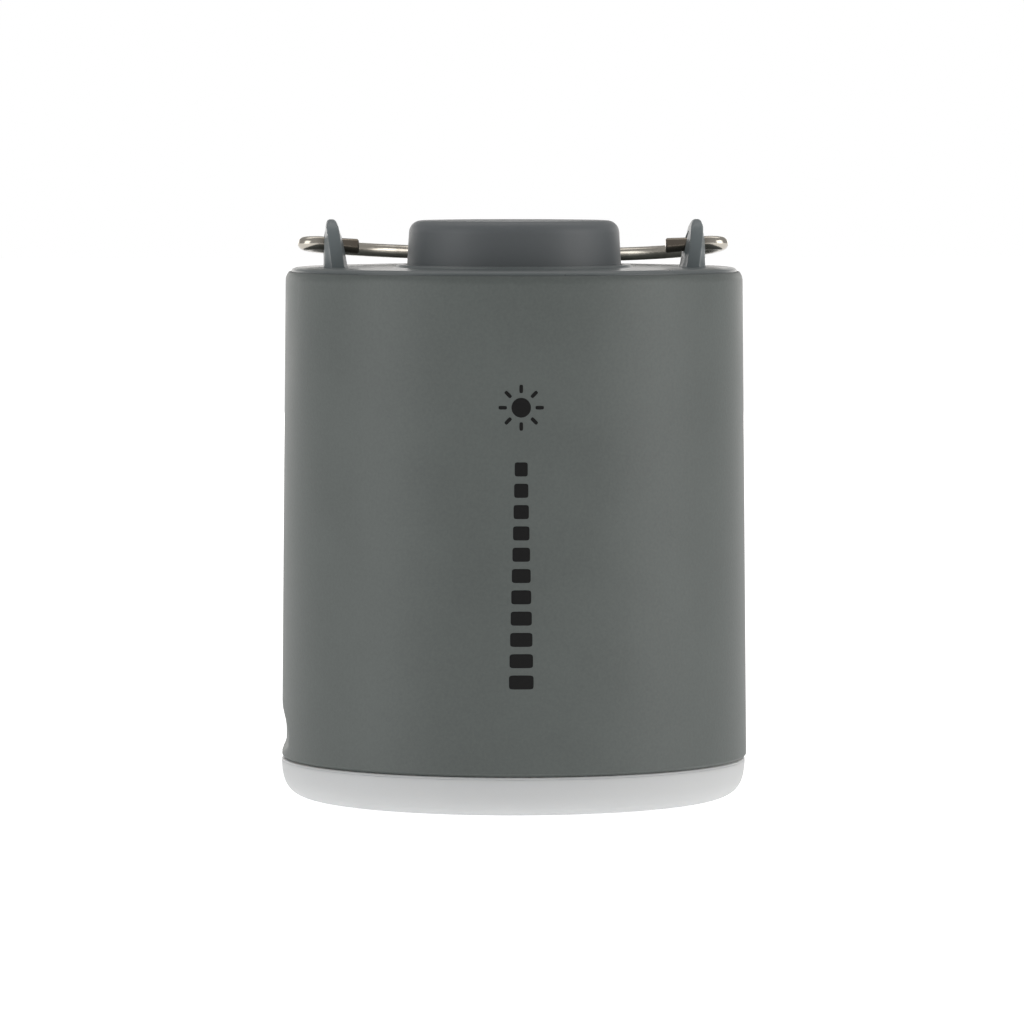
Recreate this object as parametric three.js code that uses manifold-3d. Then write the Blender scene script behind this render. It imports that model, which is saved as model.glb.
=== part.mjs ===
// Compact camping lantern. A drafted round housing stands on a frosted diffuser, with a push
// button in the middle of its top and a wire bail that swings in two ears.
// Millimetres, +Z up, origin at the centre of the diffuser's underside, front towards -Y.
// The bail lies back on the housing, the button is up and the lamp head is pushed home.
import * as THREE from "three";
import { mergeVertices } from "three/addons/utils/BufferGeometryUtils.js";
import Module from "manifold-3d";

const wasm = await Module();
wasm.setup();

const gap = 0.3; // left between neighbours that touch
const weld = 0.6; // how far joined shapes run into each other

// housing
const topZ = 75.25; // flat top of the cap
const housingFootZ = 5.85; // lower edge of the housing, just above the diffuser
const footR = 33.0;
const topR = 32.37;
const shoulderR = 1.9; // rounding between side and top
const innerFootR = 31.0;
const innerTopR = 30.4;
const partingR = 31.65; // where the cap meets the shell
const capThickness = 1.7;
const capUnderZ = topZ - capThickness;
const ledgeTopZ = capUnderZ - gap;
const ledgeInnerR = 28.3;
const scoopR = 10.4; // thumb scoop that frees the lamp head
const scoopDepth = 0.68;
const scoopZ = 9.9;

// button
const buttonRise = 6.6;
const buttonTopZ = topZ + buttonRise;
const buttonFootR = 15.33;
const buttonTopR = 14.95;
const buttonCornerR = 1.4;
const buttonBoreR = 13.3;
const buttonWall = 1.6;
const buttonUnderZ = buttonTopZ - buttonWall;
const buttonBossR = 3.0; // presses the plunger
const buttonBossFootZ = buttonUnderZ - 0.9;
const buttonHoleR = 15.75;
const buttonTravel = 1.5;
const flangeR = 17.0;
const flangeThickness = 0.8;
const flangeTopZ = capUnderZ - gap;
const flangeFootZ = flangeTopZ - flangeThickness;
const collarR = 16.6;
const collarRise = 0.35;

// ears and bail
const earInnerX = 23.6;
const earOuterX = 27.05;
const earRise = 6.75;
const earWidth = 9.0;
const earSideRise = 4.6; // where its straight outside starts to round over
const earCrownX = 25.9;
const earLean = [24.2, 4.3]; // top of its leaning inside, from the axis and above the cap
const hingeZ = topZ + 3.4;
const earHoleR = 1.3;
const wireR = 0.95;
const bailR = 29.7;
const bailBendR = 2.0;
const bailStubX = 22.0;
const bailDroop = THREE.MathUtils.degToRad(4.25); // how far it leans below level at the back

// battery cradle and cells
const plateTopZ = flangeFootZ - buttonTravel - gap;
const plateThickness = 1.5;
const plateUnderZ = plateTopZ - plateThickness;
const plateR = 30.0;
const cellR = 7.1;
const cellLength = 50.5;
const nubR = 2.75;
const nubLength = 1.0;
const cellPitchR = 15.5;
const cellAngles = [90, 210, 330];
const boreR = 7.5;
const tubeR = 8.9;
const tubeFootZ = 15.4;
const cradleFlangeZ = 16.9;
const cradleFlangeR = 28.5;
const hubR = 7.4;
const hubBoreR = 6.0;
const rodR = 1.0;
const rodHoleR = 1.35;
const contactR = 6.2;
const contactThickness = 0.5;
const topContactZ = plateUnderZ - gap - contactThickness;
const dishR = 3.2; // dished middle of the contact over the plus nub

// switch under the button
const switchBoardR = 12.0;
const switchBoardThickness = 0.8;
const switchFootZ = plateTopZ + gap + switchBoardThickness + gap;
const switchRise = 4.0;
const switchWidth = 7.0;
const switchFloor = 1.1;
const plungerR = 1.5;
const plungerHoleR = 1.9;
const plungerFootZ = switchFootZ + 2.75; // leaves the button's travel above the switch's floor
const chipSize = [3.0, 4.0, 1.2];
const chipX = 9.8;

// lamp head
const lensTopZ = 5.6;
const lensR = 32.9;
const lensCorner = 7.57;
const lensSquareness = 3.8; // 2 would be a round corner
const lensInnerCorner = 2.2;
const lensBoreR = 30.9;
const lensFloor = 1.8;
const ringR = 30.55;
const ringBoreR = 28.4;
const ringFootZ = 4.3;
const ringTopZ = 13.2;
const shelfInnerR = 23.6;
const shelfFootZ = 6.6;
const shelfTopZ = 8.6;
const grooveFootZ = 9.0;
const grooveTopZ = 10.6;
const grooveR = 29.6;
const sealR = 30.25;
const sealWireR = 0.5;
const boardR = 28.1;
const ledBoardZ = shelfTopZ + gap;
const ledBoardThickness = 1.2;
const spreaderZ = ledBoardZ + ledBoardThickness + gap;
const spreaderThickness = 1.5;
const contactBoardZ = spreaderZ + spreaderThickness + gap;
const contactBoardThickness = 0.8;
const padZ = contactBoardZ + contactBoardThickness + gap;
const padThickness = 0.5;
const padR = 3.5;
const reflectorNeck = [13.0, 8.1]; // radius and height where the dish meets the LEDs
const reflectorRim = [27.9, 3.0];
const ledRingR = 9.5;
const ledCount = 6;
const ledRise = 1.1;
const ledBaseR = 1.75;
const ledBaseRise = 0.5;
const ledDomeR = 1.4;

// screws
const screwAngles = [30, 150, 270];
const screwR = 0.9;
const screwHoleR = 1.2;
const screwHeadR = 1.9;
const screwHead = 1.2;
const screwSocketR = 0.8;
const screwSocketDepth = 0.6;
const capScrewPitchR = 25.5;
const headScrewPitchR = 26.0;
const capScrewShank = 5.0;
const headScrewShank = 6.1;
const bossR = 2.5;

// cells and what they press on: 1 and 3 stand plus end down, 2 plus end up
const cellFootZ = padZ + padThickness + gap;
const springRise = 2.9;
const springTipR = 2.6;
const springSeatR = 5.4;
const springTurns = 2.5;
const springWireR = 0.35;
const returnSpringR = 6.6;
const returnSpringTurns = 5;
const middleCellFootZ = contactBoardZ + contactBoardThickness + gap + springRise + gap;

const finishes = {
  shell: [0x63686a, 0.55, 0.0],
  button: [0x5b6064, 0.5, 0.0],
  lens: [0xdfe0e2, 0.6, 0.0],
  wire: [0xb9b5a6, 0.25, 1.0],
  innerBlack: [0x26282a, 0.6, 0.0],
  innerWhite: [0xeeeeea, 0.5, 0.0],
  board: [0x1f6b45, 0.5, 0.0],
  whiteBoard: [0xf2f2ee, 0.45, 0.0],
  cellSleeve: [0x3b6f9e, 0.35, 0.0],
  spring: [0xc9c7c0, 0.25, 1.0],
  contact: [0xcaa85a, 0.3, 1.0],
  aluminium: [0xc4c6c8, 0.4, 1.0],
  rubber: [0x1c1c1e, 0.8, 0.0],
  led: [0xf3e27a, 0.35, 0.0],
  screw: [0x9a9c9e, 0.35, 1.0],
};

function mesh(name, geometry, finish) {
  const [color, roughness, metalness] = finishes[finish];
  const piece = new THREE.Mesh(geometry, new THREE.MeshStandardMaterial({ color, roughness, metalness }));
  piece.name = name;
  return piece;
}

// [radius, height] pairs revolved about Z: out along the bottom, up the outside, back in.
function turned(outline, sides = 48) {
  const points = outline.map(([r, z]) => new THREE.Vector2(r, z));
  return new THREE.LatheGeometry(points, sides).rotateX(Math.PI / 2);
}

function ring(outline, sides = 48) {
  return turned([...outline, outline[0]], sides);
}

function disc(r, footZ, thickness, sides = 32) {
  return turned([[0, footZ], [r, footZ], [r, footZ + thickness], [0, footZ + thickness]], sides);
}

// Points on an arc in the outline's plane, both ends included; angles in degrees.
function arc(r0, z0, radius, from, to, steps) {
  const points = [];
  for (let i = 0; i <= steps; i++) {
    const a = THREE.MathUtils.degToRad(from + ((to - from) * i) / steps);
    points.push([r0 + radius * Math.cos(a), z0 + radius * Math.sin(a)]);
  }
  return points;
}

function polar(radius, degrees) {
  const a = THREE.MathUtils.degToRad(degrees);
  return [radius * Math.cos(a), radius * Math.sin(a)];
}

function solidOf(geometry) {
  const plain = geometry.clone();
  plain.deleteAttribute("normal");
  plain.deleteAttribute("uv");
  const merged = mergeVertices(plain, 1e-4);
  const corners = Array.from(merged.index.array);
  const kept = [];
  for (let i = 0; i < corners.length; i += 3) {
    const [a, b, c] = corners.slice(i, i + 3);
    if (a !== b && b !== c && c !== a) kept.push(a, b, c);
  }
  return new wasm.Manifold(new wasm.Mesh({
    numProp: 3,
    vertProperties: new Float32Array(merged.attributes.position.array),
    triVerts: new Uint32Array(kept),
  }));
}

function geometryOf(solid) {
  const result = solid.getMesh();
  const geometry = new THREE.BufferGeometry();
  geometry.setAttribute("position", new THREE.BufferAttribute(result.vertProperties, 3));
  geometry.setIndex(new THREE.BufferAttribute(result.triVerts, 1));
  geometry.computeVertexNormals();
  return geometry;
}

function upright(r, footZ, headZ, x = 0, y = 0, sides = 20) {
  return solidOf(disc(r, footZ, headZ - footZ, sides).translate(x, y, 0));
}

// Height of the rounded shoulder at a radius.
function shoulderZ(r) {
  const inward = r - (topR - shoulderR);
  return topZ - shoulderR + Math.sqrt(shoulderR ** 2 - inward ** 2);
}

// The shoulder as outline points between two radii, outer one first.
function shoulder(outerR, innerR, steps) {
  const points = [];
  for (let i = 0; i <= steps; i++) {
    const r = outerR + ((innerR - outerR) * i) / steps;
    points.push([r, shoulderZ(r)]);
  }
  return points;
}

function bodyShell() {
  const chamfer = 0.5;
  const blank = solidOf(ring([
    [innerFootR, housingFootZ],
    [footR - chamfer, housingFootZ],
    [footR, housingFootZ + chamfer],
    [topR, topZ - shoulderR],
    ...shoulder(topR - 0.05, partingR, 3),
    [partingR, ledgeTopZ],
    [ledgeInnerR, ledgeTopZ],
    [ledgeInnerR, plateTopZ + gap],
    [innerTopR, plateTopZ + gap],
  ]));
  const cutter = new THREE.CylinderGeometry(scoopR, scoopR, 2 * footR, 56);
  cutter.translate(-(footR + scoopR - scoopDepth), 0, scoopZ);
  return mesh("body_shell", geometryOf(blank.subtract(solidOf(cutter))), "shell");
}

// Side view of an ear, x against z: straight outside, leaning inside, rounded over the top.
function earSideView() {
  const view = new THREE.Shape();
  view.moveTo(earInnerX, -weld);
  view.lineTo(earOuterX, -weld);
  view.lineTo(earOuterX, earSideRise);
  view.quadraticCurveTo(earOuterX, earRise, earCrownX, earRise);
  view.quadraticCurveTo(earCrownX - 1, earRise, ...earLean);
  view.lineTo(earInnerX, 0);
  view.closePath();
  return view;
}

// End view of an ear, y against z: an arch.
function earEndView() {
  const half = earWidth / 2;
  const view = new THREE.Shape();
  view.moveTo(-half, -weld);
  view.lineTo(half, -weld);
  view.lineTo(half, earRise - half);
  view.absarc(0, earRise - half, half, 0, Math.PI, false);
  view.closePath();
  return view;
}

function ear() {
  const sideOptions = { depth: earWidth, bevelEnabled: false, curveSegments: 4 };
  const side = new THREE.ExtrudeGeometry(earSideView(), sideOptions);
  side.rotateX(Math.PI / 2).translate(0, earWidth / 2, 0);
  const end = new THREE.ExtrudeGeometry(earEndView(), { depth: 6, bevelEnabled: false, curveSegments: 8 });
  end.rotateX(Math.PI / 2).rotateZ(Math.PI / 2).translate(earInnerX - 1, 0, 0);
  const middleX = (earInnerX + earOuterX) / 2;
  const hole = disc(earHoleR, -5, 10, 16).rotateY(Math.PI / 2).translate(middleX, 0, hingeZ - topZ);
  const solid = solidOf(side).intersect(solidOf(end)).subtract(solidOf(hole));
  return solid.translate([0, 0, topZ]);
}

function topCap() {
  let cap = solidOf(ring([
    [buttonHoleR, capUnderZ],
    [partingR - gap, capUnderZ],
    ...shoulder(partingR - gap, topR - shoulderR, 3),
    [collarR, topZ],
    [collarR - 0.25, topZ + collarRise],
    [buttonHoleR, topZ + collarRise],
  ]));
  const right = ear();
  cap = cap.add(right).add(right.rotate([0, 0, 180]));
  for (const angle of screwAngles) {
    const [x, y] = polar(capScrewPitchR, angle);
    cap = cap.add(upright(bossR, plateTopZ + gap, capUnderZ + weld, x, y, 14));
    cap = cap.subtract(upright(screwHoleR, plateTopZ, topZ - 0.9, x, y, 10));
  }
  return mesh("top_cap", geometryOf(cap), "shell");
}

function batteryCradle() {
  let cradle = upright(plateR, plateUnderZ, plateTopZ, 0, 0, 40);
  cradle = cradle.add(upright(hubR, cradleFlangeZ, plateUnderZ + weld, 0, 0, 20));
  cradle = cradle.add(upright(cradleFlangeR, cradleFlangeZ, cradleFlangeZ + plateThickness, 0, 0, 40));
  for (const angle of cellAngles) {
    const [x, y] = polar(cellPitchR, angle);
    cradle = cradle.add(upright(tubeR, tubeFootZ, plateUnderZ + weld, x, y, 24));
  }
  for (const angle of cellAngles) {
    const [x, y] = polar(cellPitchR, angle);
    cradle = cradle.subtract(upright(boreR, tubeFootZ - 1, plateUnderZ, x, y, 24));
  }
  for (const angle of screwAngles) {
    const [x, y] = polar(capScrewPitchR, angle);
    cradle = cradle.subtract(upright(screwHoleR, plateUnderZ - 1, plateTopZ + 1, x, y, 10));
  }
  cradle = cradle.subtract(upright(hubBoreR, cradleFlangeZ + plateThickness, plateUnderZ, 0, 0, 20));
  cradle = cradle.subtract(upright(rodHoleR, cradleFlangeZ - 1, plateTopZ + 1, 0, 0, 12));
  return mesh("battery_cradle", geometryOf(cradle), "innerBlack");
}

// A cell standing on its flat end with the plus nub up.
function cellOutline() {
  const canLength = cellLength - nubLength;
  return [
    [0, 0],
    [cellR - 0.5, 0],
    [cellR, 0.5],
    [cellR, canLength - 0.5],
    [cellR - 0.5, canLength],
    [nubR, canLength],
    [nubR, cellLength],
    [0, cellLength],
  ];
}

function cell(number) {
  const [x, y] = polar(cellPitchR, cellAngles[number - 1]);
  const piece = mesh(`cell_${number}`, turned(cellOutline(), 20), "cellSleeve");
  if (number === 2) {
    piece.position.set(x, y, middleCellFootZ);
  } else {
    piece.rotation.x = Math.PI;
    piece.position.set(x, y, cellFootZ + cellLength);
  }
  return piece;
}

// A coil from the local origin upwards, its radius running from footR to headR.
function coil(footR, headR, rise, turns, sides = 5, stepsPerTurn = 12) {
  const wire = springWireR;
  class Helix extends THREE.Curve {
    getPoint(t) {
      const a = 2 * Math.PI * turns * t;
      const r = footR + (headR - footR) * t;
      return new THREE.Vector3(r * Math.cos(a), r * Math.sin(a), wire + (rise - 2 * wire) * t);
    }
  }
  const section = new THREE.Shape();
  for (let i = 0; i < sides; i++) {
    const [x, y] = polar(wire, (360 * i) / sides);
    if (i === 0) section.moveTo(x, y);
    else section.lineTo(x, y);
  }
  section.closePath();
  return new THREE.ExtrudeGeometry(section, { steps: Math.round(turns * stepsPerTurn), extrudePath: new Helix() });
}

function cellSpring(number) {
  const [x, y] = polar(cellPitchR, cellAngles[number - 1]);
  const spring = coil(springTipR, springSeatR, springRise, springTurns);
  const piece = mesh(`cell_spring_${number}`, spring, "spring");
  const upsideDown = number !== 2;
  piece.rotation.x = upsideDown ? Math.PI : 0;
  piece.position.set(x, y, upsideDown ? topContactZ - gap : padZ);
  return piece;
}

// Contacts over the cells; the middle one is dished down to the plus nub.
function topContact(number) {
  const [x, y] = polar(cellPitchR, cellAngles[number - 1]);
  const dishZ = number === 2 ? middleCellFootZ + cellLength + gap : topContactZ;
  const dished = [[0, dishZ], [dishR, dishZ], [dishR + 0.4, topContactZ]];
  const outline = [
    ...(number === 2 ? dished : [[0, topContactZ]]),
    [contactR, topContactZ],
    [contactR, topContactZ + contactThickness],
    [0, topContactZ + contactThickness],
  ];
  const piece = mesh(`top_contact_${number}`, turned(outline, 16), "contact");
  piece.position.set(x, y, 0);
  return piece;
}

function feedRod() {
  return mesh("feed_rod", disc(rodR, padZ, plateTopZ - padZ, 12), "contact");
}

// Standing on its tip, with a socket in the head above.
function screw(name, shank) {
  const headTop = shank + screwHead;
  const outline = [
    [0, 0],
    [screwR - 0.3, 0],
    [screwR, 0.4],
    [screwR, shank],
    [screwHeadR, shank],
    [screwHeadR, headTop - 0.3],
    [screwHeadR - 0.3, headTop],
    [screwSocketR, headTop],
    [screwSocketR, headTop - screwSocketDepth],
    [0, headTop - screwSocketDepth],
  ];
  return mesh(name, turned(outline, 9), "screw");
}

function capScrew(number) {
  const [x, y] = polar(capScrewPitchR, screwAngles[number - 1]);
  const piece = screw(`cap_screw_${number}`, capScrewShank);
  piece.rotation.x = Math.PI;
  piece.position.set(x, y, plateUnderZ - gap + capScrewShank);
  return piece;
}

function switchBoard() {
  return mesh("switch_board", disc(switchBoardR, plateTopZ + gap, switchBoardThickness, 24), "board");
}

function switchBody() {
  const box = new THREE.BoxGeometry(switchWidth, switchWidth, switchRise);
  box.translate(0, 0, switchFootZ + switchRise / 2);
  const hole = upright(plungerHoleR, switchFootZ + switchFloor, switchFootZ + switchRise + 1, 0, 0, 16);
  return mesh("switch_body", geometryOf(solidOf(box).subtract(hole)), "innerBlack");
}

function driverChip() {
  const piece = mesh("driver_chip", new THREE.BoxGeometry(...chipSize), "innerBlack");
  piece.position.set(chipX, 0, switchFootZ + chipSize[2] / 2);
  return piece;
}

function button() {
  const cornerZ = buttonTopZ - buttonCornerR;
  const outline = [
    [0, buttonBossFootZ],
    [buttonBossR, buttonBossFootZ],
    [buttonBossR, buttonUnderZ],
    [buttonBoreR - 0.8, buttonUnderZ],
    [buttonBoreR, buttonUnderZ - 0.8],
    [buttonBoreR, flangeFootZ],
    [flangeR, flangeFootZ],
    [flangeR, flangeTopZ],
    [buttonFootR, flangeTopZ],
    [buttonFootR, topZ],
    [buttonTopR, cornerZ],
    ...arc(buttonTopR - buttonCornerR, cornerZ, buttonCornerR, 15, 90, 5),
    [0, buttonTopZ],
  ];
  return mesh("button_cap", turned(outline, 40), "button");
}

function plunger() {
  const rise = buttonBossFootZ - gap - plungerFootZ;
  return mesh("switch_plunger", disc(plungerR, plungerFootZ, rise, 16), "innerWhite");
}

function buttonSpring() {
  const rise = buttonUnderZ - gap - switchFootZ;
  const piece = mesh("button_spring", coil(returnSpringR, returnSpringR, rise, returnSpringTurns), "spring");
  piece.position.z = switchFootZ;
  return piece;
}

// The wire's centre line in its own plane: stub, bend, half circle, bend, stub.
function bailPath() {
  const bendX = Math.sqrt((bailR - bailBendR) ** 2 - bailBendR ** 2);
  const meet = Math.atan2(bailBendR, bendX);
  const path = new THREE.CurvePath();
  const at = (x, y) => new THREE.Vector3(x, y, 0);
  const swing = (cx, cy, radius, from, to) => {
    class Swing extends THREE.Curve {
      getPoint(t) {
        const a = from + (to - from) * t;
        return at(cx + radius * Math.cos(a), cy + radius * Math.sin(a));
      }
    }
    return new Swing();
  };
  path.add(new THREE.LineCurve3(at(bailStubX, 0), at(bendX, 0)));
  path.add(swing(bendX, bailBendR, bailBendR, -Math.PI / 2, meet));
  path.add(swing(0, 0, bailR, meet, Math.PI - meet));
  path.add(swing(-bendX, bailBendR, bailBendR, Math.PI - meet, 1.5 * Math.PI));
  path.add(new THREE.LineCurve3(at(-bendX, 0), at(-bailStubX, 0)));
  return path;
}

function bail() {
  const section = new THREE.Shape();
  section.absarc(0, 0, wireR, 0, 2 * Math.PI, false);
  const options = { steps: 64, curveSegments: 4, extrudePath: bailPath() };
  return mesh("bail_wire", new THREE.ExtrudeGeometry(section, options), "wire");
}

// The diffuser's outside as a squarish corner, from the flat underside up to the rim.
function lensOutside(steps) {
  const power = 2 / lensSquareness;
  const rimAngle = Math.acos((1 - (lensTopZ - 0.2) / lensCorner) ** (1 / power));
  const points = [];
  for (let i = 0; i <= steps; i++) {
    const a = rimAngle * (i / steps) ** 1.3;
    const r = lensR - lensCorner + lensCorner * Math.sin(a) ** power;
    points.push([r, lensCorner * (1 - Math.cos(a) ** power)]);
  }
  return points;
}

function diffuser() {
  const outline = [
    [0, 0],
    ...lensOutside(7),
    [lensR - 0.3, lensTopZ],
    [lensBoreR, lensTopZ],
    ...arc(lensBoreR - lensInnerCorner, lensFloor + lensInnerCorner, lensInnerCorner, 0, -90, 3),
    [0, lensFloor],
  ];
  return mesh("diffuser_lens", turned(outline, 48), "lens");
}

function headRing() {
  let body = solidOf(ring([
    [ringBoreR, ringFootZ],
    [ringR, ringFootZ],
    [ringR, grooveFootZ],
    [grooveR, grooveFootZ],
    [grooveR, grooveTopZ],
    [ringR, grooveTopZ],
    [ringR, ringTopZ - 0.4],
    [ringR - 0.4, ringTopZ],
    [ringBoreR, ringTopZ],
    [ringBoreR, shelfTopZ],
    [shelfInnerR, shelfTopZ],
    [shelfInnerR, shelfFootZ],
    [ringBoreR, shelfFootZ],
  ], 48));
  for (const angle of screwAngles) {
    const [x, y] = polar(headScrewPitchR, angle);
    body = body.subtract(upright(screwHoleR, shelfFootZ + 0.4, shelfTopZ + 1, x, y, 10));
  }
  return mesh("head_ring", geometryOf(body), "innerWhite");
}

function seal() {
  const middleZ = (grooveFootZ + grooveTopZ) / 2;
  const outline = arc(sealR, middleZ, sealWireR, 0, 300, 5);
  return mesh("head_seal", ring(outline), "rubber");
}

function reflector() {
  const [neckR, neckZ] = reflectorNeck;
  const [rimR, rimZ] = reflectorRim;
  const outline = [
    [neckR, neckZ],
    [rimR, rimZ],
    [rimR, rimZ + 0.8],
    [neckR + 0.6, neckZ + 0.5],
    [neckR, neckZ + 0.5],
  ];
  return mesh("reflector", ring(outline, 32), "innerWhite");
}

function headPlate(name, footZ, thickness, finish) {
  let plate = upright(boardR, footZ, footZ + thickness, 0, 0, 32);
  for (const angle of screwAngles) {
    const [x, y] = polar(headScrewPitchR, angle);
    plate = plate.subtract(upright(screwHoleR, footZ - 1, footZ + thickness + 1, x, y, 10));
  }
  return mesh(name, geometryOf(plate), finish);
}

function led(number) {
  const backZ = ledBoardZ - gap;
  const baseZ = backZ - ledBaseRise;
  const outline = [
    [0, backZ - ledRise],
    [ledDomeR - 0.5, backZ - ledRise + 0.15],
    [ledDomeR, baseZ],
    [ledBaseR, baseZ],
    [ledBaseR, backZ],
    [0, backZ],
  ];
  const [x, y] = number === 1 ? [0, 0] : polar(ledRingR, (360 * (number - 2)) / ledCount);
  const piece = mesh(`led_${number}`, turned(outline, 8), "led");
  piece.position.set(x, y, 0);
  return piece;
}

function pad(number) {
  const [x, y] = polar(cellPitchR, cellAngles[number - 1]);
  const piece = mesh(`contact_pad_${number}`, disc(padR, padZ, padThickness, 16), "contact");
  piece.position.set(x, y, 0);
  return piece;
}

function headScrew(number) {
  const [x, y] = polar(headScrewPitchR, screwAngles[number - 1]);
  const piece = screw(`head_screw_${number}`, headScrewShank);
  piece.position.set(x, y, padZ - headScrewShank);
  return piece;
}

function group(...pieces) {
  const result = new THREE.Group();
  result.add(...pieces);
  return result;
}

const housing = group(
  bodyShell(),
  topCap(),
  batteryCradle(),
  ...[1, 2, 3].map(cell),
  cellSpring(1),
  cellSpring(3),
  ...[1, 2, 3].map(topContact),
  feedRod(),
  ...[1, 2, 3].map(capScrew),
  switchBoard(),
  switchBody(),
  driverChip(),
);
const buttonGroup = group(button(), plunger(), buttonSpring());
const bailGroup = group(bail());
bailGroup.position.z = hingeZ;
bailGroup.rotation.x = -bailDroop;
const lampHead = group(
  diffuser(),
  headRing(),
  seal(),
  reflector(),
  headPlate("led_board", ledBoardZ, ledBoardThickness, "whiteBoard"),
  headPlate("heat_spreader", spreaderZ, spreaderThickness, "aluminium"),
  headPlate("contact_board", contactBoardZ, contactBoardThickness, "board"),
  ...[1, 2, 3, 4, 5, 6, 7].map(led),
  pad(1),
  pad(3),
  cellSpring(2),
  ...[1, 2, 3].map(headScrew),
);

export default group(housing, buttonGroup, bailGroup, lampHead);
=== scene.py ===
# Compact camping lantern on a pale floor. Shapes are worked out in millimetres in the part's own
# frame (+Z up, front towards -Y) and put into the meshes in metres.
import math
import bmesh
import bpy
import numpy as np
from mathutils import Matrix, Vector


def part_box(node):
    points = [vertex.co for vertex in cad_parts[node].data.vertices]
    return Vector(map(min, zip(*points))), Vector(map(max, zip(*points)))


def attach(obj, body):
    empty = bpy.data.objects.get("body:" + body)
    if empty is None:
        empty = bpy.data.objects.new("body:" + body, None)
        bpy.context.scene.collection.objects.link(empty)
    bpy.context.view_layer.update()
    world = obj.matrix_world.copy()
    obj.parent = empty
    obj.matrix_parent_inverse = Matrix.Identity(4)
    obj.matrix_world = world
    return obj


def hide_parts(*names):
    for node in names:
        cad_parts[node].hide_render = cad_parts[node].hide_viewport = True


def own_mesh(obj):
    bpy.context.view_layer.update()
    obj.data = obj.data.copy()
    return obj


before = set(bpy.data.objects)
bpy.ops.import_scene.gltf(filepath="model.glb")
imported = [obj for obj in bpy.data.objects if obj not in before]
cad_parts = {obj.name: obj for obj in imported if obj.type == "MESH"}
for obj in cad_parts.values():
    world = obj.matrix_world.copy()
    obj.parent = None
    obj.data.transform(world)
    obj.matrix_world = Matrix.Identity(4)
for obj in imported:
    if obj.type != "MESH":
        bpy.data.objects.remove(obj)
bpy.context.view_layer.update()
mm = 0.001
print("frame loaded:", len(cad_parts), "nodes")


def nodeBox(node):
    low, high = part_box(node)
    return np.array(low) / mm, np.array(high) / mm


def nodeSpan(node):
    # the node's middle (x, y), half its width, and the heights of its foot and top
    low, high = nodeBox(node)
    return (low + high)[:2] / 2, (high[0] - low[0]) / 2, low[2], high[2]


def gridMesh(name, points, closeAround=True, closeAlong=False, sharpAngle=32):
    # points[i, j]: i runs along the outline or path, j goes round it
    rows, columns = points.shape[:2]
    index = np.arange(rows * columns).reshape(rows, columns)
    if closeAround:
        index = np.concatenate([index, index[:, :1]], axis=1)
    if closeAlong:
        index = np.concatenate([index, index[:1]], axis=0)
    quads = np.stack([index[:-1, :-1], index[:-1, 1:], index[1:, 1:], index[1:, :-1]], axis=-1)
    mesh = bpy.data.meshes.new(name)
    mesh.from_pydata((points.reshape(-1, 3) * mm).tolist(), [], quads.reshape(-1, 4).tolist())
    # the wrap: u goes round, v goes along, each from 0 to 1
    alongCount, aroundCount = quads.shape[:2]
    cornerAlong = np.arange(alongCount)[:, None, None] + np.array([0, 0, 1, 1])
    cornerAround = np.arange(aroundCount)[None, :, None] + np.array([0, 1, 1, 0])
    cornerAlong, cornerAround = np.broadcast_arrays(cornerAlong, cornerAround)
    coordinates = np.stack([cornerAround / aroundCount, cornerAlong / alongCount], axis=-1)
    layer = mesh.uv_layers.new(name="wrap")
    layer.data.foreach_set("uv", coordinates.astype(np.float32).ravel())
    return finishMesh(name, mesh, sharpAngle)


def finishMesh(name, mesh, sharpAngle):
    # welds seams and poles, drops what collapsed, and points every face outwards
    work = bmesh.new()
    work.from_mesh(mesh)
    bmesh.ops.remove_doubles(work, verts=work.verts, dist=2e-7)
    bmesh.ops.dissolve_degenerate(work, edges=work.edges, dist=1e-8)
    bmesh.ops.recalc_face_normals(work, faces=work.faces)
    work.to_mesh(mesh)
    work.free()
    return smoothPiece(name, mesh, sharpAngle)


def joined(name, pieces, sharpAngle):
    # several closed shapes as one object
    work = bmesh.new()
    for piece in pieces:
        work.from_mesh(piece.data)
    mesh = bpy.data.meshes.new(name)
    work.to_mesh(mesh)
    work.free()
    for piece in pieces:
        bpy.data.objects.remove(piece)
    return smoothPiece(name, mesh, sharpAngle)


def smoothPiece(name, mesh, sharpAngle):
    # shaded smooth, except over edges that turn by more than sharpAngle degrees
    mesh.shade_smooth()
    mesh.set_sharp_from_angle(angle=math.radians(sharpAngle))
    piece = bpy.data.objects.new(name, mesh)
    bpy.context.scene.collection.objects.link(piece)
    return piece


def place(piece, material, body, slotName, *nodes):
    piece.data.materials.clear()
    piece.data.materials.append(material)
    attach(piece, body)
    if nodes:
        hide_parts(*nodes)
    return piece


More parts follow.
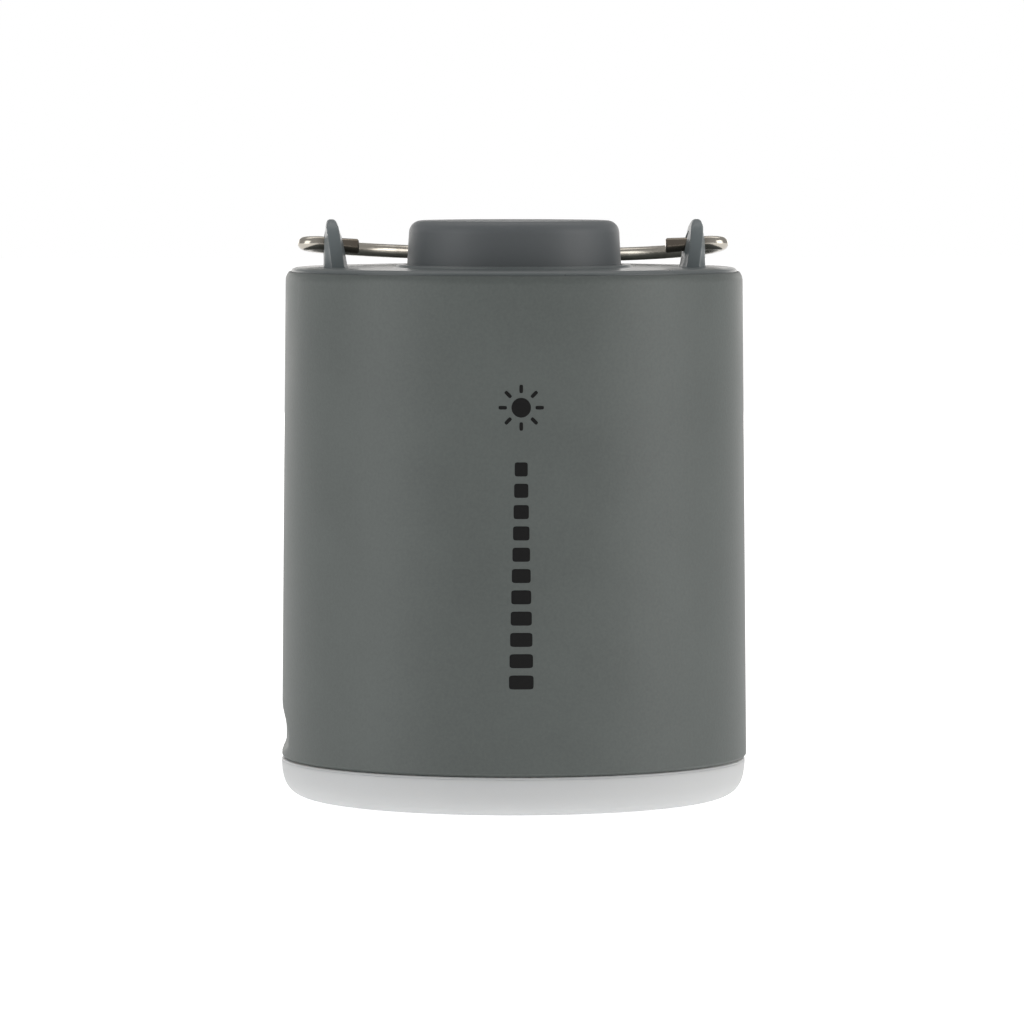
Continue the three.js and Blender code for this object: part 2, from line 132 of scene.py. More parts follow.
def softOutline(corners, closed=False, steps=7):
    # straight runs between (radius, height, rounding) corners, each corner replaced by an arc of its
    # rounding: tangent length = rounding * tan(half the turn), points = centre + rounding * (cos, sin)
    count = len(corners)
    xy = np.array([corner[:2] for corner in corners], float)
    pieces = []
    for i, corner in enumerate(corners):
        rounding = corner[2] if len(corner) > 2 else 0.0
        atEnd = not closed and i in (0, count - 1)
        if rounding == 0 or atEnd:
            pieces.append(xy[i][None])
            continue
        before = xy[i - 1] - xy[i]
        after = xy[(i + 1) % count] - xy[i]
        before, after = before / np.linalg.norm(before), after / np.linalg.norm(after)
        half = np.arccos(np.clip(np.dot(before, after), -1, 1)) / 2
        reach = rounding / np.tan(half)
        middle = (before + after) / np.linalg.norm(before + after)
        centre = xy[i] + middle * rounding / np.sin(half)
        start, end = xy[i] + before * reach, xy[i] + after * reach
        turn = np.linspace(0, 1, steps)
        a, b = (start - centre) / rounding, (end - centre) / rounding
        omega = np.arccos(np.clip(np.dot(a, b), -1, 1))
        arc = (np.sin((1 - turn) * omega)[:, None] * a + np.sin(turn * omega)[:, None] * b) / np.sin(omega)
        guard = min(0.12, 0.3 * rounding)  # a point just before and after the arc keeps the run flat
        pieces.append(np.concatenate([(start + before * guard)[None], centre + rounding * arc,
                                      (end + after * guard)[None]]))
    return np.concatenate(pieces)


def denser(outline, longest):
    # extra points on long straight runs
    runs = [outline[:1]]
    for a, b in zip(outline[:-1], outline[1:]):
        count = max(1, int(np.ceil(np.linalg.norm(b - a) / longest)))
        runs.append(a + (b - a) * (np.arange(1, count + 1) / count)[:, None])
    return np.concatenate(runs)


def turnedPoints(outline, sides=192, centre=(0.0, 0.0)):
    # each outline point (r, z) goes round the axis: x = r cos a, y = r sin a
    angle = np.arange(sides) * (2 * np.pi / sides)
    r, z = outline[:, :1], outline[:, 1:]
    x = centre[0] + r * np.cos(angle)
    y = centre[1] + r * np.sin(angle)
    return np.stack([x, y, np.broadcast_to(z, x.shape)], axis=-1)


def turned(name, corners, closed=False, sides=192, centre=(0.0, 0.0), steps=7):
    # the softened outline carried round the axis; a closed outline makes a ring
    outline = softOutline(corners, closed, steps)
    return gridMesh(name, turnedPoints(outline, sides, centre), closeAlong=closed)


def smoothStep(value):
    # 3 v squared - 2 v cubed, from 0 to 1
    value = np.clip(value, 0, 1)
    return value * value * (3 - 2 * value)


def polar(radius, degrees):
    # x = radius cos a, y = radius sin a
    angle = math.radians(degrees)
    return np.array([radius * math.cos(angle), radius * math.sin(angle)])


def addNode(tree, kind, inputs=None, **settings):
    # an input given as a socket is linked, any other is a fixed value
    node = tree.nodes.new(kind)
    for key, value in settings.items():
        setattr(node, key, value)
    for key, value in (inputs or {}).items():
        if isinstance(value, bpy.types.NodeSocket):
            tree.links.new(value, node.inputs[key])
        else:
            node.inputs[key].default_value = value
    return node


def math2(tree, operation, a, b=0.0, clamp=False):
    return addNode(tree, "ShaderNodeMath", {0: a, 1: b}, operation=operation, use_clamp=clamp).outputs[0]


def mixColor(tree, factor, a, b):
    # the color sockets of the mix node are its inputs 6 and 7 and its output 2
    return addNode(tree, "ShaderNodeMix", {"Factor": factor, 6: a, 7: b}, data_type="RGBA").outputs[2]


def mapRange(tree, value, fromLow, fromHigh, toLow=0.0, toHigh=1.0):
    inputs = {0: value, 1: fromLow, 2: fromHigh, 3: toLow, 4: toHigh}
    return addNode(tree, "ShaderNodeMapRange", inputs, interpolation_type="SMOOTHSTEP").outputs[0]


def noise(tree, vector, scale, detail=2.0, roughness=0.5):
    inputs = {"Vector": vector, "Scale": scale, "Detail": detail, "Roughness": roughness}
    return addNode(tree, "ShaderNodeTexNoise", inputs).outputs["Fac"]


def newGroup(name, inputs, outputs):
    tree = bpy.data.node_groups.new(name, "ShaderNodeTree")
    kinds = {"color": "NodeSocketColor", "value": "NodeSocketFloat", "vector": "NodeSocketVector"}
    for label, kind, default in inputs:
        socket = tree.interface.new_socket(label, in_out="INPUT", socket_type=kinds[kind])
        socket.default_value = default
    for label, kind in outputs:
        tree.interface.new_socket(label, in_out="OUTPUT", socket_type=kinds[kind])
    return tree, tree.nodes.new("NodeGroupInput").outputs, tree.nodes.new("NodeGroupOutput").inputs


def useGroup(tree, group, inputs):
    return addNode(tree, "ShaderNodeGroup", inputs, node_tree=group).outputs


def newMaterial(name):
    material = bpy.data.materials.new(name)
    material.use_nodes = True
    tree = material.node_tree
    return material, tree, tree.nodes["Principled BSDF"].inputs


def objectVector(tree):
    return addNode(tree, "ShaderNodeTexCoord").outputs["Object"]


def finishSkin(tree, shader, color, roughness, height, depth):
    # color, roughness, and a relief of the given depth in millimetres
    relief = addNode(tree, "ShaderNodeBump", {"Height": height, "Distance": depth * mm, "Strength": 1.0})
    tree.links.new(color, shader["Base Color"])
    tree.links.new(roughness, shader["Roughness"])
    tree.links.new(relief.outputs["Normal"], shader["Normal"])


def gray(value, warm=0.0):
    return (value * (1 + warm), value, value * (1 - warm), 1.0)


def makeMouldGrain():
    # the fine texture of a moulded skin: pebbles of about a quarter millimetre with soft mottling
    tree, given, out = newGroup("mouldGrain", [
        ("Color", "color", gray(0.1)), ("Mottle", "value", 0.06), ("Mottle Scale", "value", 70.0),
        ("Roughness", "value", 0.5), ("Roughness Spread", "value", 0.1), ("Grain Scale", "value", 3800.0),
    ], [("Color", "color"), ("Roughness", "value"), ("Height", "value")])
    where = objectVector(tree)
    soft = noise(tree, where, given["Mottle Scale"], 4.0, 0.55)
    fine = noise(tree, where, given["Grain Scale"], 3.0, 0.6)
    cells = addNode(tree, "ShaderNodeTexVoronoi", {"Vector": where, "Scale": given["Grain Scale"]},
                    feature="SMOOTH_F1").outputs["Distance"]
    drift = math2(tree, "MULTIPLY", math2(tree, "SUBTRACT", soft, 0.5), given["Mottle"])
    speck = math2(tree, "MULTIPLY", math2(tree, "SUBTRACT", fine, 0.5), given["Mottle"])
    level = math2(tree, "ADD", math2(tree, "ADD", drift, speck), 1.0)
    scaled = addNode(tree, "ShaderNodeVectorMath", {0: given["Color"], "Scale": level}, operation="SCALE")
    tree.links.new(scaled.outputs[0], out["Color"])
    spread = math2(tree, "MULTIPLY", math2(tree, "SUBTRACT", soft, 0.5), given["Roughness Spread"])
    tree.links.new(math2(tree, "ADD", given["Roughness"], spread, clamp=True), out["Roughness"])
    pebbles, dimples = math2(tree, "MULTIPLY", cells, 0.6), math2(tree, "MULTIPLY", fine, 0.7)
    tree.links.new(math2(tree, "ADD", pebbles, dimples), out["Height"])
    return tree


def makeDustAndRub():
    # a little settled dust on what faces up, and faint long rubs that polish the skin
    tree, given, out = newGroup("dustAndRub", [
        ("Color", "color", gray(0.1)), ("Roughness", "value", 0.5),
        ("Dust Color", "color", gray(0.5, 0.04)), ("Dust", "value", 0.15), ("Rub", "value", 0.1),
    ], [("Color", "color"), ("Roughness", "value")])
    where = objectVector(tree)
    normal = addNode(tree, "ShaderNodeNewGeometry").outputs["Normal"]
    up = addNode(tree, "ShaderNodeSeparateXYZ", {0: normal}).outputs["Z"]
    facing = mapRange(tree, up, 0.2, 0.95)
    patches = mapRange(tree, noise(tree, where, 260.0, 5.0, 0.65), 0.42, 0.72)
    specks = mapRange(tree, noise(tree, where, 2600.0, 2.0), 0.62, 0.72)
    settled = math2(tree, "MULTIPLY", facing, math2(tree, "ADD", patches, specks, clamp=True))
    dust = math2(tree, "MULTIPLY", settled, given["Dust"])
    stretched = addNode(tree, "ShaderNodeMapping", {
        "Vector": where, "Rotation": (0.3, 0.2, 0.5), "Scale": (900.0, 900.0, 60.0),
    }).outputs[0]
    lines = mapRange(tree, noise(tree, stretched, 1.0, 2.0), 0.68, 0.76)
    area = mapRange(tree, noise(tree, where, 45.0, 2.0), 0.5, 0.65)
    rub = math2(tree, "MULTIPLY", math2(tree, "MULTIPLY", lines, area), given["Rub"])
    tree.links.new(mixColor(tree, dust, given["Color"], given["Dust Color"]), out["Color"])
    rough = math2(tree, "ADD", given["Roughness"], math2(tree, "MULTIPLY", dust, 0.4))
    polish = math2(tree, "MULTIPLY", rub, 0.5)
    tree.links.new(math2(tree, "SUBTRACT", rough, polish, clamp=True), out["Roughness"])
    return tree


def makeDrawnMetal():
    # drawing lines and a light tarnish; the vector runs quickly across the lines, slowly along them
    tree, given, out = newGroup("drawnMetal", [
        ("Vector", "vector", (0.0, 0.0, 0.0)), ("Color", "color", gray(0.6)),
        ("Tarnish", "color", gray(0.3)), ("Amount", "value", 0.3), ("Roughness", "value", 0.25),
        ("Roughness Spread", "value", 0.15),
    ], [("Color", "color"), ("Roughness", "value"), ("Height", "value")])
    lines = noise(tree, given["Vector"], 1.0, 3.0, 0.6)
    cloud = noise(tree, objectVector(tree), 210.0, 4.0, 0.6)
    stain = math2(tree, "MULTIPLY", mapRange(tree, cloud, 0.45, 0.8), given["Amount"])
    tree.links.new(mixColor(tree, stain, given["Color"], given["Tarnish"]), out["Color"])
    wander = math2(tree, "SUBTRACT", math2(tree, "MULTIPLY", math2(tree, "ADD", lines, cloud), 0.5), 0.5)
    spread = math2(tree, "MULTIPLY", wander, given["Roughness Spread"])
    rough = math2(tree, "ADD", given["Roughness"], spread)
    stained = math2(tree, "MULTIPLY", stain, 0.25)
    tree.links.new(math2(tree, "ADD", rough, stained, clamp=True), out["Roughness"])
    tree.links.new(lines, out["Height"])
    return tree


mouldGrain = makeMouldGrain()
dustAndRub = makeDustAndRub()
drawnMetal = makeDrawnMetal()


def mouldedPlastic(name, color, roughness, mottle=0.13, grainScale=3000.0, grainDepth=0.017, dust=0.1,
                   rub=0.3):
    # a moulded skin with its grain, then what use has left on it
    material, tree, shader = newMaterial(name)
    grain = useGroup(tree, mouldGrain, {
        "Color": (*color, 1.0), "Mottle": mottle, "Roughness": roughness, "Roughness Spread": 0.14,
        "Grain Scale": grainScale,
    })
    worn = useGroup(tree, dustAndRub, {
        "Color": grain["Color"], "Roughness": grain["Roughness"], "Dust": dust, "Rub": rub,
    })
    finishSkin(tree, shader, worn["Color"], worn["Roughness"], grain["Height"], grainDepth)
    return material


def frostedDiffuser(name):
    # milky plastic that lets light into itself, with a finely etched skin
    material, tree, shader = newMaterial(name)
    grain = useGroup(tree, mouldGrain, {
        "Color": (0.712, 0.72, 0.722, 1.0), "Mottle": 0.03, "Mottle Scale": 40.0, "Roughness": 0.42,
        "Roughness Spread": 0.1, "Grain Scale": 5200.0,
    })
    finishSkin(tree, shader, grain["Color"], grain["Roughness"], grain["Height"], 0.006)
    shader["Specular IOR Level"].default_value = 0.25
    shader["Subsurface Weight"].default_value = 0.6
    shader["Subsurface Radius"].default_value = (1.0, 0.95, 0.9)
    shader["Subsurface Scale"].default_value = 2.5 * mm
    return material


def wireMetal(name, color, tarnish, roughness, amount=0.35, alongWire=(90.0, 14.0, 1.0), shadedEnds=0.0):
    # plated wire; the wrap's u goes round it and v along it. Near its ends its colour is darkened towards
    # the tarnish colour: painted shade.
    material, tree, shader = newMaterial(name)
    wrap = addNode(tree, "ShaderNodeUVMap", uv_map="wrap").outputs[0]
    lengths = addNode(tree, "ShaderNodeMapping", {"Vector": wrap, "Scale": alongWire}).outputs[0]
    metal = useGroup(tree, drawnMetal, {
        "Vector": lengths, "Color": (*color, 1.0), "Tarnish": (*tarnish, 1.0), "Amount": amount,
        "Roughness": roughness, "Roughness Spread": 0.2,
    })
    along = addNode(tree, "ShaderNodeSeparateXYZ", {0: wrap}).outputs["Y"]
    fromEnd = math2(tree, "MINIMUM", along, math2(tree, "SUBTRACT", 1.0, along))
    # painted shade: towards each end of the wire the colour goes darker, towards the tarnish colour
    endShade = math2(tree, "MULTIPLY", mapRange(tree, fromEnd, 0.085, 0.05), shadedEnds)
    endShaded = mixColor(tree, endShade, metal["Color"], (*tarnish, 1.0))
    finishSkin(tree, shader, endShaded, metal["Roughness"], metal["Height"], 0.0012)
    shader["Metallic"].default_value = 1.0
    return material


def sheetMetal(name, color, tarnish, roughness):
    # rolled or machined metal, its lines running along Y
    material, tree, shader = newMaterial(name)
    lines = addNode(tree, "ShaderNodeMapping", {
        "Vector": objectVector(tree), "Scale": (4000.0, 120.0, 4000.0),
    }).outputs[0]
    metal = useGroup(tree, drawnMetal, {
        "Vector": lines, "Color": (*color, 1.0), "Tarnish": (*tarnish, 1.0), "Amount": 0.3,
        "Roughness": roughness, "Roughness Spread": 0.25,
    })
    finishSkin(tree, shader, metal["Color"], metal["Roughness"], metal["Height"], 0.003)
    shader["Metallic"].default_value = 1.0
    return material


def circuitBoard(name, resist, copper):
    # solder resist with the copper showing through as slightly raised tracks
    material, tree, shader = newMaterial(name)
    tracks = addNode(tree, "ShaderNodeTexBrick", {
        "Vector": objectVector(tree), "Scale": 230.0, "Mortar Size": 0.035, "Mortar Smooth": 0.15,
        "Color1": gray(0.0), "Color2": gray(0.0), "Mortar": gray(1.0), "Brick Width": 0.9,
        "Row Height": 0.45,
    }).outputs["Fac"]
    grain = useGroup(tree, mouldGrain, {
        "Color": (*resist, 1.0), "Mottle": 0.1, "Roughness": 0.32, "Roughness Spread": 0.1,
        "Grain Scale": 2600.0,
    })
    printed = mixColor(tree, math2(tree, "MULTIPLY", tracks, 0.6), grain["Color"], (*copper, 1.0))
    finishSkin(tree, shader, printed, grain["Roughness"], tracks, 0.03)
    return material


def cellSleeve(name, footZ, topZ):
    # printed shrink sleeve: a light band near each end of the cell and bare metal beyond the sleeve
    material, tree, shader = newMaterial(name)
    height = addNode(tree, "ShaderNodeSeparateXYZ", {0: objectVector(tree)}).outputs["Z"]
    grain = useGroup(tree, mouldGrain, {
        "Color": (0.045, 0.15, 0.30, 1.0), "Mottle": 0.06, "Roughness": 0.3, "Roughness Spread": 0.1,
        "Grain Scale": 2200.0,
    })
    middle, reach = (footZ + topZ) / 2 * mm, (topZ - footZ) / 2 * mm
    away = math2(tree, "ABSOLUTE", math2(tree, "SUBTRACT", height, middle))
    inner = mapRange(tree, away, reach - 9.2 * mm, reach - 9.0 * mm)
    outer = mapRange(tree, away, reach - 7.0 * mm, reach - 6.8 * mm)
    band = math2(tree, "SUBTRACT", inner, outer)
    bare = mapRange(tree, away, reach - 0.75 * mm, reach - 0.65 * mm)
    banded = mixColor(tree, band, grain["Color"], gray(0.62))
    color = mixColor(tree, bare, banded, gray(0.62, 0.01))
    finishSkin(tree, shader, color, grain["Roughness"], grain["Height"], 0.004)
    tree.links.new(bare, shader["Metallic"])
    return material


def ledCover(name):
    # clear silicone over yellow phosphor
    material, tree, shader = newMaterial(name)
    speck = noise(tree, objectVector(tree), 5200.0, 2.0)
    phosphor = mixColor(tree, speck, (0.82, 0.62, 0.12, 1.0), (0.9, 0.75, 0.22, 1.0))
    tree.links.new(phosphor, shader["Base Color"])
    tree.links.new(mapRange(tree, speck, 0.3, 0.7, 0.2, 0.32), shader["Roughness"])
    shader["Coat Weight"].default_value = 0.8
    shader["Coat Roughness"].default_value = 0.08
    return material


def printInk(name):
    # pad-printed ink, a touch glossier than the skin under it
    material, tree, shader = newMaterial(name)
    blot = noise(tree, objectVector(tree), 1900.0, 3.0, 0.6)
    color = mixColor(tree, blot, gray(0.004), gray(0.010))
    finishSkin(tree, shader, color, mapRange(tree, blot, 0.3, 0.7, 0.36, 0.5), blot, 0.004)
    shader["Specular IOR Level"].default_value = 0.2
    return material


shellPlastic = mouldedPlastic("shellPlastic", (0.115, 0.1305, 0.1235), 0.44, mottle=0.3, grainScale=2400.0,
                              grainDepth=0.02, dust=0.06, rub=0.25)
capPlastic = mouldedPlastic("capPlastic", (0.12, 0.138, 0.14), 0.3, mottle=0.05, grainScale=5200.0,
                            grainDepth=0.005, dust=0.05, rub=0.3)
earPlastic = mouldedPlastic("earPlastic", (0.186, 0.214, 0.222), 0.36, mottle=0.05, grainScale=5200.0,
                            grainDepth=0.005, dust=0.05, rub=0.3)
buttonPlastic = mouldedPlastic("buttonPlastic", (0.142, 0.155, 0.162), 0.46, mottle=0.05, grainScale=5200.0,
                               grainDepth=0.006, dust=0.05, rub=0.35)
blackPlastic = mouldedPlastic("blackPlastic", (0.018, 0.019, 0.02), 0.5)
whitePlastic = mouldedPlastic("whitePlastic", (0.78, 0.78, 0.76), 0.35, mottle=0.03, grainScale=5200.0,
                              grainDepth=0.005)
sealRubber = mouldedPlastic("sealRubber", (0.012, 0.012, 0.013), 0.72, mottle=0.2, grainScale=3000.0)
diffuserPlastic = frostedDiffuser("diffuserPlastic")
# the bail wire's colour is darkened near its ends by this amount: painted shade
bailMetal = wireMetal("bailMetal", (0.62, 0.58, 0.51), (0.15, 0.12, 0.09), 0.19, amount=0.4, shadedEnds=0.8)
springMetal = wireMetal("springMetal", (0.66, 0.65, 0.62), (0.35, 0.33, 0.3), 0.24,
                        alongWire=(60.0, 30.0, 1.0))
contactBrass = sheetMetal("contactBrass", (0.72, 0.53, 0.22), (0.4, 0.25, 0.09), 0.26)
screwSteel = sheetMetal("screwSteel", (0.52, 0.53, 0.55), (0.3, 0.3, 0.29), 0.32)
spreaderMetal = sheetMetal("spreaderMetal", (0.72, 0.725, 0.73), (0.5, 0.5, 0.5), 0.35)
greenBoard = circuitBoard("greenBoard", (0.012, 0.12, 0.05), (0.09, 0.26, 0.1))
whiteBoard = circuitBoard("whiteBoard", (0.8, 0.8, 0.77), (0.68, 0.68, 0.64))
ledSilicone = ledCover("ledSilicone")
markInk = printInk("markInk")
print("materials made")


shell = {
    "footZ": 5.80, "footR": 33.0, "footBevel": 0.42, "footInset": 0.34, "topZ": 75.25, "topR": 32.37,
    "shoulder": 1.9, "partingR": 31.70, "lipRounding": 0.22, "ledgeTopZ": 73.25, "ledgeFootZ": 70.95,
    "ledgeR": 28.3, "boreFootR": 31.0, "boreTopR": 30.4, "scoopDepth": 0.78, "scoopTopZ": 14.2,
    "scoopDeepZ": 9.2, "scoopKneeZ": 8.0, "scoopLowZ": 6.45, "scoopSoft": 0.05,
    "scoopSideX": -28.0, "scoopSkin": 0.6,
}


def shellRadius(z):
    # outside radius under the shoulder: a straight draft from foot to top
    rise = (z - shell["footZ"]) / (shell["topZ"] - shell["footZ"])
    return shell["footR"] + (shell["topR"] - shell["footR"]) * rise


def shoulderArc(outerAngle, innerAngle, steps=12):
    # circle of the shoulder's radius: (r, z) = centre + radius * (cos a, sin a)
    radius = shell["shoulder"]
    angle = np.radians(np.linspace(outerAngle, innerAngle, steps))
    centreR, centreZ = shell["topR"] - radius, shell["topZ"] - radius
    return np.stack([centreR + radius * np.cos(angle), centreZ + radius * np.sin(angle)], axis=-1)


def shoulderAngle(r):
    # where the arc stands at radius r: cos a = (r - centre) / radius
    return math.degrees(math.acos((r - shell["topR"] + shell["shoulder"]) / shell["shoulder"]))


def withScoop(points):
    # pulls the -X side in: x is kept above the plane x = -footR + depth * (gentle rise) * (quick fall),
    # softly: limit + soft * log(1 + e^((x - limit) / soft))
    x, z = points[..., 0], points[..., 2]
    rise = smoothStep((shell["scoopTopZ"] - z) / (shell["scoopTopZ"] - shell["scoopDeepZ"]))
    fall = smoothStep((z - shell["scoopLowZ"]) / (shell["scoopKneeZ"] - shell["scoopLowZ"]))
    limit = -shell["footR"] + shell["scoopDepth"] * rise * fall
    outside = np.hypot(x, points[..., 1]) > shell["boreFootR"] + shell["scoopSkin"]
    soft = shell["scoopSoft"]
    eased = limit + soft * np.logaddexp(0, (x - limit) / soft)
    moved = points.copy()
    moved[..., 0] = np.where(outside & (x < shell["scoopSideX"]), eased, x)
    return moved


def housingShell():
    # the outline (foot bevel, drafted side, shoulder arc, lip, ledge, bore) carried round the axis
    lipAngle = shoulderAngle(shell["partingR"] + shell["lipRounding"])
    side = softOutline([
        (shell["boreFootR"], shell["footZ"]),
        (shell["footR"] - shell["footInset"], shell["footZ"], 0.06),
        (shell["footR"], shell["footZ"] + shell["footBevel"], 0.12),
        (shell["topR"], shell["topZ"] - shell["shoulder"]),
    ])
    lip = shoulderArc(0, lipAngle)
    inside = softOutline([
        tuple(lip[-1]),
        (shell["partingR"] + 0.02, lip[-1][1] + 0.17, 0.12),
        (shell["partingR"], shell["ledgeTopZ"], 0.1),
        (shell["ledgeR"], shell["ledgeTopZ"], 0.3),
        (shell["ledgeR"], shell["ledgeFootZ"], 0.3),
        (shell["boreTopR"], shell["ledgeFootZ"], 0.4),
        (shell["boreFootR"], shell["footZ"] + 0.001),
    ], steps=4)
    outline = np.concatenate([denser(side, 0.4), lip[1:], inside[1:-1]])
    points = withScoop(turnedPoints(outline, 384))
    return gridMesh("housingShell", points, closeAlong=True)


place(housingShell(), shellPlastic, "housing", "shell_plastic", "body_shell")
print("housing shell")


cap = {
    "edgeR": 31.56, "edgeWallZ": 74.80, "chamfer": 0.22, "underZ": 73.55, "holeR": 15.75, "collarR": 16.6,
    "collarRise": 0.35, "bossR": 2.5, "bossBoreR": 0.9, "bossPitchR": 25.5, "bossAngles": (30, 150, 270),
}
ear = {
    "holeZ": 3.4, "holeR": 1.3, "sink": 0.5, "halfWidth": 4.5, "archZ": 2.15, "rise": 6.75, "middleX": 25.3,
    "lean": 0.09, "thickness": 3.35, "taper": 0.2, "crownFall": 0.62, "band": 1.75, "chamfer": 2.3,
    "bandShift": 0.25, "bandShiftTopZ": 6.0, "edge": 0.13, "crownEdge": 0.55, "crownZ": 4.0,
    "crownRise": 2.5, "edgeZ": 4.2, "edgeRise": 2.4, "countersink": 0.35, "countersinkWidth": 0.5,
    "flare": 0.12, "flareRise": 0.15,
}


def capPlate():
    # the outline (edge wall, what is left of the shoulder arc, flat, collar, hole) carried round the axis
    rimAngle = shoulderAngle(cap["edgeR"] - cap["chamfer"])
    crown = shoulderArc(rimAngle, 90, 8)
    top = shell["topZ"]
    edge = softOutline([
        (cap["holeR"], cap["underZ"]),
        (cap["edgeR"], cap["underZ"], 0.2),
        (cap["edgeR"], cap["edgeWallZ"], 0.08),
        tuple(crown[0]),
    ], steps=5)
    collar = softOutline([
        tuple(crown[-1]),
        (cap["collarR"] + 0.25, top, 0.25),
        (cap["collarR"] - 0.1, top + cap["collarRise"], 0.2),
        (cap["holeR"], top + cap["collarRise"], 0.12),
        (cap["holeR"], cap["underZ"] + 0.001),
    ], steps=6)
    outline = np.concatenate([edge, crown[1:], collar[1:-1]])
    return gridMesh("capPlate", turnedPoints(outline, 256), closeAlong=True)


def earPoints():
    # Rings round the hole. In direction (sin u, cos u) the rim is where the ray meets the arch, an
    # ellipse over straight sides, or the sunk foot; a point's two faces stand off a leaning middle line
    # by half the band's width at the rim and half the thickness further in than the chamfer.
    around = np.linspace(0, 2 * np.pi, 181)[:-1]
    sideways, upwards = np.sin(around), np.cos(around)
    width, archRise = ear["halfWidth"], ear["rise"] - ear["archZ"]
    lift = ear["holeZ"] - ear["archZ"]
    a = (sideways / width) ** 2 + (upwards / archRise) ** 2
    b = 2 * lift * upwards / archRise ** 2
    c = (lift / archRise) ** 2 - 1
    arch = (-b + np.sqrt(b * b - 4 * a * c)) / (2 * a)
    side = width / np.maximum(np.abs(sideways), 1e-6)
    foot = (ear["holeZ"] + ear["sink"]) / np.maximum(-upwards, 1e-6)
    below = ear["holeZ"] + arch * upwards < ear["archZ"]
    reach = np.where(below, np.minimum(side, foot), arch)
    nearRim = (1.6, 1.25, 0.9, 0.6, 0.38, 0.22, 0.13, 0.08, 0.04, 0.015, 0.0)  # in from the rim
    nearHole = (0.0, 0.06, 0.14, 0.26, 0.42, 0.6, 0.8)  # shares of the way out to the first of those
    distances = [ear["holeR"] + (reach - nearRim[0] - ear["holeR"]) * f for f in nearHole]
    distances += [reach - d for d in nearRim]
    rings = []
    for face, order in ((1, distances), (-1, distances[::-1])):
        for distance in order:
            y = distance * sideways
            z = ear["holeZ"] + distance * upwards
            outward = np.sqrt((y / width) ** 2 + (np.maximum(z - ear["archZ"], 0) / archRise) ** 2)
            depth = np.clip((1 - outward) * width, 0, None)
            full = (ear["thickness"] - ear["taper"] * np.clip(z, 0, None)
                    - ear["crownFall"] * smoothStep((z - ear["crownZ"]) / ear["crownRise"])) / 2
            band = np.minimum(ear["band"] / 2, full)
            softer = smoothStep((z - ear["edgeZ"]) / ear["edgeRise"])
            edge = ear["edge"] + (ear["crownEdge"] - ear["edge"]) * softer
            turn = np.clip(1 - depth / edge, 0, 1)
            bevel = smoothStep(depth / ear["chamfer"])
            half = band + (full - band) * bevel - edge * (1 - np.sqrt(1 - turn ** 2))
            fromHole = smoothStep((distance - ear["holeR"]) / ear["countersinkWidth"])
            half = half - ear["countersink"] * (1 - fromHole)
            shift = ear["bandShift"] * (1 - np.clip(z / ear["bandShiftTopZ"], 0, 1)) * (1 - bevel)
            flare = ear["flare"] * np.exp(-np.clip(z, 0, None) / ear["flareRise"])
            x = ear["middleX"] + ear["lean"] * z - shift + face * (half + flare)
            rings.append(np.stack([x, y, z + shell["topZ"]], axis=-1))
    return np.stack(rings)


def capEar(name, side):
    # the left ear is the right one turned half round: x and y change sign together
    points = earPoints()
    points[..., 0] *= side
    points[..., 1] *= side
    return gridMesh(name, points, closeAlong=True, sharpAngle=40)


def capBoss(name, angle):
    # a tube round its screw, from the ledge's foot up into the cap
    footZ, headZ = shell["ledgeFootZ"], cap["underZ"] + 0.4
    corners = [
        (cap["bossBoreR"], footZ), (cap["bossR"], footZ, 0.2), (cap["bossR"], headZ),
        (cap["bossBoreR"], headZ),
    ]
    return turned(name, corners, closed=True, sides=40, centre=polar(cap["bossPitchR"], angle))


capPieces = [
    (capPlate(), capPlastic),
    (capEar("rightEar", 1), earPlastic),
    (capEar("leftEar", -1), earPlastic),
    *((capBoss(f"capBoss{i}", angle), capPlastic) for i, angle in enumerate(cap["bossAngles"])),
]
for piece, material in capPieces:
    place(piece, material, "housing", "shell_plastic", "top_cap")
print("top cap")


button = {
    "topZ": 81.83, "footR": 15.18, "topR": 14.8, "corner": 1.75, "wall": 1.6, "boreR": 13.3,
    "flangeR": 17.0, "flangeTopZ": 73.25, "flangeFootZ": 72.45, "crown": 0.08, "bossR": 3.0,
    "bossDrop": 0.9,
}


def buttonCap():
    # the outline (boss, hollow, flange, drafted side, rounded corner, slight crown) carried round the axis
    top = button["topZ"]
    under = top - button["wall"]
    bossR, bossZ = button["bossR"], under - button["bossDrop"]
    corners = [
        (0.0, bossZ), (bossR, bossZ, 0.2), (bossR, under, 0.2), (button["boreR"], under, 0.8),
        (button["boreR"], button["flangeFootZ"], 0.1), (button["flangeR"], button["flangeFootZ"], 0.15),
        (button["flangeR"], button["flangeTopZ"], 0.15), (button["footR"], button["flangeTopZ"], 0.1),
        (button["footR"], shell["topZ"]), (button["topR"], top - 0.03, button["corner"]),
        (9.0, top + 0.6 * button["crown"], 60.0), (0.0, top + button["crown"]),
    ]
    return turned("buttonCap", corners, sides=256, steps=10)


place(buttonCap(), buttonPlastic, "button", "button_plastic", "button_cap")
print("button")


bail = {
    "wireR": 0.97, "circleR": 29.7, "bendR": 2.0, "rightStubX": 21.5, "leftStubX": 22.0, "hingeZ": 78.65,
    "droop": 4.25, "chamfer": 0.18, "warp": 0.0006, "crimpLength": 3.2, "crimp": 0.1, "bentX": 27.6,
    "rightDroop": 0.4, "leftDroop": 0.52,
}


